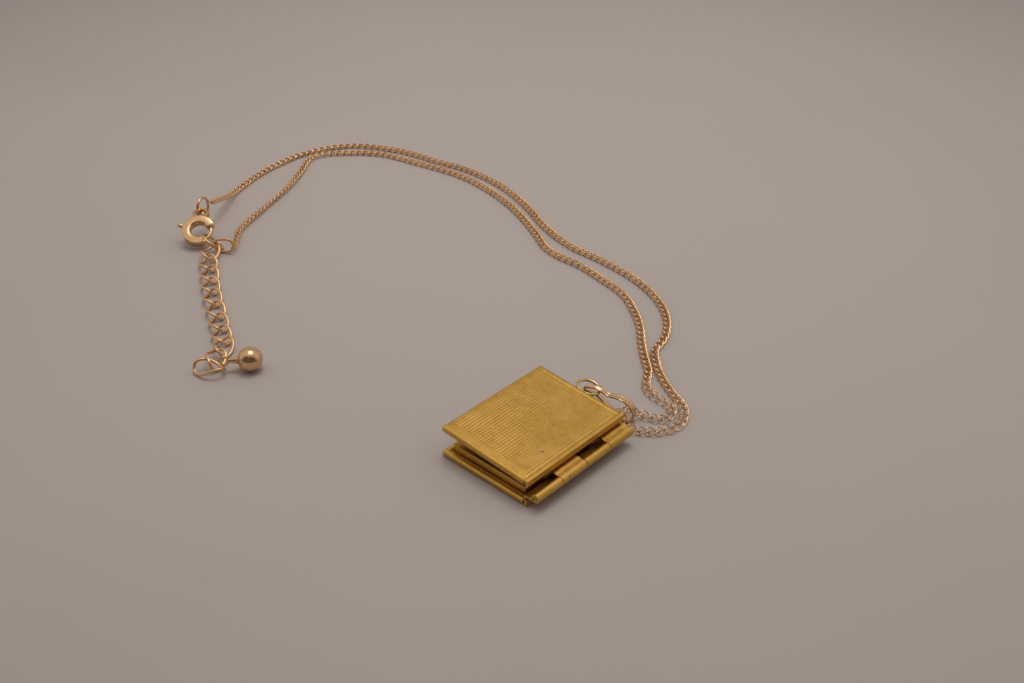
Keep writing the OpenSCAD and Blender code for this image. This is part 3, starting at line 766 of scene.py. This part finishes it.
# The chain's route as in the CAD, from the jump ring through the bail to the strand ring
CHAIN_ROUTE = [
    (-99.3, 10.1, 4.5), (-101.6, 13.5, 3.1), (-104.5, 17.2, 1.4), (-108, 22, 0.2), (-111.2, 30.6, 0),
    (-112.5, 38.9, 0), (-112.3, 44.7, 0), (-110.4, 50.7, 0), (-106.1, 56.3, 0), (-97, 60.8, 0),
    (-85.8, 63, 0), (-77.4, 64.3, 0), (-67.4, 63.7, 0), (-57, 60.5, 0), (-47.1, 55.9, 0),
    (-38, 53.3, 0), (-29.8, 53, 0), (-21.4, 52, 0), (-15, 50, 0), (-10, 47.2, 0),
    (-6.4, 43.9, 0), (-3.9, 40.2, 0), (-2.8, 37.3, 0), (-2.2, 34.8, 0), (0.4, 31.6, 0),
    (3.9, 28.7, 0), (7.8, 26.3, 0), (10.5, 24.9, 0), (12.4, 23.4, 0), (13.8, 20.9, 0),
    (13.8, 18.4, 0), (12.8, 16.4, 0), (11, 14.7, 0), (9.2, 13.7, 0), (7.5, 13.6, 0.3),
    (6.3, 14.2, 1), (5.9, 15.4, 1.2), (6.3, 16.6, 0.8), (7.3, 17.45, 0.3), (8.7, 18.1, 0),
    (10.1, 18.6, 0), (11.3, 19.7, 0), (11.2, 21.5, 0), (10, 23, 0), (7.9, 23.3, 0),
    (5.4, 23.7, 0), (3.2, 25.2, 0), (0.9, 28.7, 0), (-1.8, 31.3, 0), (-5.3, 34.9, 0),
    (-8.8, 38.9, 0), (-13, 42.5, 0), (-18.4, 45.8, 0), (-25.3, 47.5, 0), (-31.2, 48.5, 0),
    (-36.5, 48.5, 0), (-41.4, 49.5, 0), (-46.9, 52.6, 0), (-57, 57.3, 0), (-67.2, 60.2, 0),
    (-77.4, 61.1, 0), (-88.6, 59.3, 0), (-99.2, 56.5, 0), (-106.5, 50.5, 0), (-109.2, 46.1, 0),
    (-108.8, 42.7, 0), (-105.1, 37.4, 0), (-100.4, 29.4, 0), (-96.7, 20.4, 0), (-93.2, 12.4, 0),
    (-90.4, 9.2, 0), (-87.5, 6.4, 0.05),
]
LINK_PITCH = 1.55
# Length, width, wire and twist of a link on a straight run, and in a tight bend
LINK, BENT_LINK = (2.6, 1.66, 0.37, -50.0), (2.5, 1.9, 0.22, -60.0)
# Links moved a little, clear of the jump ring's wire and of the other strand
LINK_SHIFTS = {0: (-0.2, 0.3, -0.1), 111: (0.02, 0.04, 0.0)}
# Points round a link and its wire, and how boxy the link's sides are
LINK_SHAPE = 16, 6, 0.7
# The wire's middle above the route, and the part of it that is added where the route rises
ROUTE_LIFT, RISE_LIFT = 0.45, 0.29
# Degrees between two links where they begin to slacken and where they are slack
SLACK_FROM, SLACK_TO = 5, 14
# Links counted from the strand ring that roll on their side, the roll and its swing, and the lift
ROLLED, EASED, END_ROLL, END_SWING, END_LIFT = 14, 30, 32, 16, 0.15
SWING, TABLE_GAP = 4, 0.004


def curb_link(length, width, wire, twist, sides, wire_sides, power=0.85):
    """A twisted oval link along X, centred on the origin."""
    a, b = (length - wire) / 2, (width - wire) / 2

    def at(t):
        x, y = a * np.cos(t), b * np.sign(np.sin(t)) * np.abs(np.sin(t)) ** power
        w = np.radians(twist) * x / a
        return np.stack([x, y * np.cos(w), y * np.sin(w)], -1), w

    t = 2 * np.pi * (np.arange(sides) + 0.5) / sides
    p, w = at(t)
    along = unit(at(t + 0.03)[0] - at(t - 0.03)[0])
    out = np.stack([np.cos(t) * b, np.sin(t) * a * np.cos(w), np.sin(t) * a * np.sin(w)], -1)
    side = unit(out - np.sum(out * along, -1, keepdims=True) * along)
    up = np.cross(along, side)
    rings = [p[i] + wire / 2 * (np.cos(q)[:, None] * side[i] + np.sin(q)[:, None] * up[i])
             for i in range(sides) for q in [2 * np.pi * np.arange(wire_sides) / wire_sides]]
    return loft(rings, closed=True)


def chain():
    """Links along the route, flat on the table; the last ones, by the strand ring, are rolled."""
    base = np.array(CHAIN_ROUTE)
    base[:, 2] += ROUTE_LIFT + RISE_LIFT * np.clip(base[:, 2], 0, 1)
    line = smooth_route(base, LINK_PITCH)
    verts, faces = curb_link(*LINK, *LINK_SHAPE)
    bent, _ = curb_link(*BENT_LINK, *LINK_SHAPE)
    n = len(line)
    k = np.arange(n)
    along = unit(line[np.minimum(k + 1, n - 1)] - line[np.maximum(k - 1, 0)])
    bend = np.degrees(np.arccos(np.clip(np.sum(along[1:] * along[:-1], 1), -1, 1)))
    window = np.exp(-(np.arange(-9, 10) / 3) ** 2)
    bend = np.convolve(np.r_[bend, bend[-1]], window / window.sum(), "same")
    slack = smoothstep(SLACK_FROM, SLACK_TO, bend)
    rolled = 1 - smoothstep(ROLLED, EASED, n - 1 - k)
    roll = np.radians((1 - rolled) * SWING * np.sin(k * 0.7)
                      + rolled * (END_ROLL + END_SWING * np.sin(k * 0.45)))
    for i, shift in LINK_SHIFTS.items():
        line[i] += shift
    shapes = []
    for i in range(n):
        side = unit(np.cross((0, 0, 1), along[i]))
        up = np.cross(along[i], side)
        c, q = math.cos(roll[i]), math.sin(roll[i])
        v = verts * (1 - slack[i]) + bent * slack[i]
        v = v @ np.stack([along[i], c * side + q * up, c * up - q * side], 1).T + line[i]
        v[:, 2] += max(END_LIFT * rolled[i], TABLE_GAP - v[:, 2].min())
        shapes.append((v, faces))
    return joined(*shapes)


chain_piece = make("curb_chain", chain(), rose, 60)


# ---------------------------------------------------------------- clasp

CLASP_AT, CLASP_TURN, CLASP_TILT = (-94.4, 3, 2.95), 136.0, 30.5
CLASP_R, TUBE_R, BOLT_R, BORE_GAP = 3.3, 0.85, 0.36, 0.06
TUBE_LINE_R = CLASP_R - TUBE_R
TUBE_EDGE, TUBE_SLOPE = 0.14, 0.45
GAP_TO, GAP = -72.0, 76.0
NUB_AT, NUB_TRAVEL = 70.0, 60.0
LUG_R, LUG_H, LUG_JOINT, LUG_BEND = 1.7, 1.1, 0.25, 27.0
# The lug's section, upper half: in from its radius, down from its top
LUG_EDGE = (0, 0.16), (0.15, 0), (0.52, 0), (0.65, 0.1)
SLOT_HALF, SLOT_PAST = 0.31, 9
clasp_matrix = turn_z(CLASP_TURN) @ turn_y(-CLASP_TILT)


def arc_line(radius, a0, a1, n):
    a = np.radians(np.linspace(a0, a1, n))
    return np.stack([radius * np.cos(a), radius * np.sin(a), np.zeros(n)], 1)


def arc_tube(sections, angles, radius):
    """Rings about the Z axis: each section of (outward, up) at its own angle."""
    rings = []
    for s, a in zip(sections, angles):
        c, q = math.cos(math.radians(a)), math.sin(math.radians(a))
        rings.append(np.stack([(radius + s[:, 0]) * c, (radius + s[:, 0]) * q, s[:, 1]], 1))
    return rings


def clasp_placed(shape):
    return outward(moved(shape, clasp_matrix, CLASP_AT))


def clasp_body():
    """The C-shaped tube with its bore, its lug, and the slot that the nub slides in."""
    out_c, in_c = TUBE_R - TUBE_EDGE, TUBE_R - TUBE_SLOPE
    body = np.array(arc(out_c, -out_c, TUBE_EDGE, -90, 0, 5) + arc(out_c, out_c, TUBE_EDGE, 0, 90, 5)
                    + arc(-in_c, in_c, TUBE_SLOPE, 90, 180, 9) + arc(-in_c, -in_c, TUBE_SLOPE, 180, 270, 9))
    bore = circle(BOLT_R + BORE_GAP, len(body), -90)
    n = 72
    angles = np.linspace(GAP_TO, GAP_TO + 360 - GAP, n)
    outer = [body * np.interp(min(i, n - 1 - i), (0, 2), (0.86, 1)) for i in range(n)]
    rings = arc_tube(outer, angles, TUBE_LINE_R) + arc_tube([bore] * n, angles[::-1], TUBE_LINE_R)
    ring = loft(rings, closed=True)
    upper = [(LUG_R - d, LUG_H / 2 - z) for d, z in LUG_EDGE]
    lug_section = [(r, -z) for r, z in upper[::-1]] + upper
    lug = loft([np.array([(r * math.cos(a), r * math.sin(a), z) for r, z in lug_section])
                for a in 2 * np.pi * np.arange(48) / 48], closed=True)
    lug = moved(moved(lug, None, (LUG_R, 0, 0)), turn_y(LUG_BEND), (CLASP_R - LUG_JOINT, 0, 0))
    slot_section = np.array([(0, -SLOT_HALF), (2.0, -SLOT_HALF), (2.0, SLOT_HALF), (0, SLOT_HALF)])
    slot_angles = np.linspace(NUB_AT - SLOT_PAST, NUB_AT + NUB_TRAVEL + SLOT_PAST, 24)
    slot = loft(arc_tube([slot_section] * 24, slot_angles, TUBE_LINE_R))
    return clasp_placed(ring), [("UNION", clasp_placed(lug)), ("DIFFERENCE", clasp_placed(slot))]


clasp_ring = combine("clasp_body", *clasp_body(), rose_polished, 40)


def lathe(profile, n):
    """A body turned about Z from (radius, height) rows, closed at both ends."""
    return loft([np.c_[circle(max(r, 0.002), n), np.full(n, z)] for r, z in profile])


def clasp_bolt():
    """The curved rod across the clasp's opening, with its thumb nub."""
    n = 60
    angles = np.linspace(GAP_TO - GAP - 4, NUB_AT + 6, n)
    sections = [circle(BOLT_R * (0.8 if k in (0, n - 1) else 1), 18) for k in range(n)]
    rod = loft(arc_tube(sections, angles, TUBE_LINE_R))
    reach = TUBE_R + 1.4
    nub = lathe([(0.25, 0.0), (0.25, 0.95), (0.3, 1.02), (0.42, 1.1), (0.475, 1.3), (0.475, 1.75),
                 (0.44, reach - 0.28), (0.3, reach - 0.08), (0.12, reach)], 22)
    at = math.radians(NUB_AT)
    nub = moved(nub, turn_z(NUB_AT) @ turn_y(90), (TUBE_LINE_R * math.cos(at), TUBE_LINE_R * math.sin(at), 0))
    return clasp_placed(rod), [("UNION", clasp_placed(nub))]


bolt = combine("clasp_bolt_nub", *clasp_bolt(), rose, 40)


# ---------------------------------------------------------------- rings, extension chain and ball

JUMP_D, JUMP_WIRE, END_D, END_WIRE, STRAND_L, STRAND_W, STRAND_WIRE = 4.2, 0.55, 5.2, 0.5, 4.5, 3.3, 0.5
CUT_HALF = 1.2  # degrees


def split_ring(diameter, wire, cut):
    """A jump ring with the fine cut where it was closed."""
    line = arc_line((diameter - wire) / 2, cut + CUT_HALF, cut + 360 - CUT_HALF, RING_STEPS)
    ends = (0, RING_STEPS - 1)
    sections = [circle(wire / 2 * (0.82 if k in ends else 1), WIRE_STEPS) for k in range(RING_STEPS)]
    return around(line, np.array(sections), closed=False)


def oval_ring(length, width, wire):
    bow, reach = (width - wire) / 2, (length - width) / 2
    a = 2 * np.pi * np.arange(RING_STEPS) / RING_STEPS
    x = bow * np.cos(a) + reach * np.clip(np.cos(a) * 3, -1, 1)
    return around(np.stack([x, bow * np.sin(a), 0 * a], 1), circle(wire / 2, 12))


jump_ring = make("jump_ring_wire", moved(split_ring(JUMP_D, JUMP_WIRE, 200), turn_z(112) @ turn_x(86),
                                         (-98.55, 7.3, 5.45)), rose_polished)
end_ring = make("end_ring_wire", moved(split_ring(END_D, END_WIRE, 250), turn_z(-21) @ turn_x(139),
                                       (-90.6, 3.45, 1.8)), rose)
strand_ring = make("strand_ring_wire", moved(oval_ring(STRAND_L, STRAND_W, STRAND_WIRE),
                                             turn_z(-142) @ turn_y(4) @ turn_x(-91), (-87.5, 4, 1.8)), rose)

# The extension chain's links: x, y, z, heading, roll
EXT_LINKS = [
    (-88.1, 1.2, 1.4, -50, 0), (-85.1, -1.6, 0.95, -32, 0), (-81.3, -4, 0.95, -32, 0),
    (-77.6, -6.4, 0.95, -32, 0), (-73.7, -8.7, 0.95, -30, 0), (-69.6, -10.9, 0.95, -29, 0),
    (-65.6, -13.1, 0.95, -29, 0), (-61.8, -15.2, 0.95, -30, 0), (-58.3, -17.3, 1.2, -46, -12),
    (-55.7, -20.8, 1.5, -51, -31), (-54.4, -23.1, 1.35, 32, 8),
]
EXT_LINK = 6.0, 3.9, 0.55, -45.0, 40, 12
extension = make("extension_links", joined(*[
    moved(curb_link(*EXT_LINK), turn_z(heading) @ turn_x(roll), (x, y, z))
    for x, y, z, heading, roll in EXT_LINKS
]), rose)

BALL_D, BALL_AT, BALL_TURN, STEM_L, EYE_R, EYE_WIRE = 4.4, (-50.2, -17.4, 2.2), 230.0, 3.4, 0.8, 0.4
# The ball's stem: radius, distance from the ball's centre
STEM = [(0.86, 2.03), (0.7, 2.22), (0.6, 2.5), (0.52, 2.9), (0.45, 3.3), (0.38, 3.7), (0.33, 3.9)]


def ball():
    """The end weight with its stem and eye."""
    r = BALL_D / 2
    rows = [(r * math.sin(a), -r * math.cos(a)) for a in np.radians(np.linspace(0, 150, 40))]
    body = moved(lathe(rows + STEM, 48), turn_y(90))
    eye_at = r + STEM_L / 2 + EYE_R - EYE_WIRE / 2
    eye = moved(wire_ring(EYE_R, EYE_WIRE, 40, 12), turn_x(90), (eye_at, 0, 0))
    body, eye = (outward(moved(shape, turn_z(BALL_TURN), BALL_AT)) for shape in (body, eye))
    return body, [("UNION", eye)]


drop_ball = combine("drop_ball_polished", *ball(), rose_polished, 40)


# ---------------------------------------------------------------- what stands for what, and what moves it

PIECES = [
    (front_cover, "front_leaf", ["front_cover"], "locket_brass"),
    (fixed_ring, "front_leaf", [], "locket_brass"),
    (front_frame, "front_leaf", ["front_frame"], "frame_brass"),
    (bail_piece, "front_leaf", ["bail"], "rose_gold"),
    (chain_piece, "front_leaf", ["chain"], "rose_gold"),
    (clasp_ring, "front_leaf", ["clasp_ring"], "rose_gold"),
    (jump_ring, "front_leaf", ["jump_ring"], "rose_gold"),
    (end_ring, "front_leaf", ["end_ring"], "rose_gold"),
    (strand_ring, "front_leaf", ["strand_ring"], "rose_gold"),
    (extension, "front_leaf", ["extension_chain"], "rose_gold"),
    (drop_ball, "front_leaf", ["drop_ball"], "rose_gold"),
    (back_cover, "back_leaf", ["back_cover"], "locket_brass"),
    (back_frame, "back_leaf", ["back_frame"], "frame_brass"),
    (pin, "back_leaf", ["hinge_pin"], "locket_brass"),
    (bolt, "bolt", ["clasp_bolt"], "rose_gold"),
]
for piece, body, replaced, slot in PIECES:
    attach(piece, body)
    if replaced:
        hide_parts(*replaced)
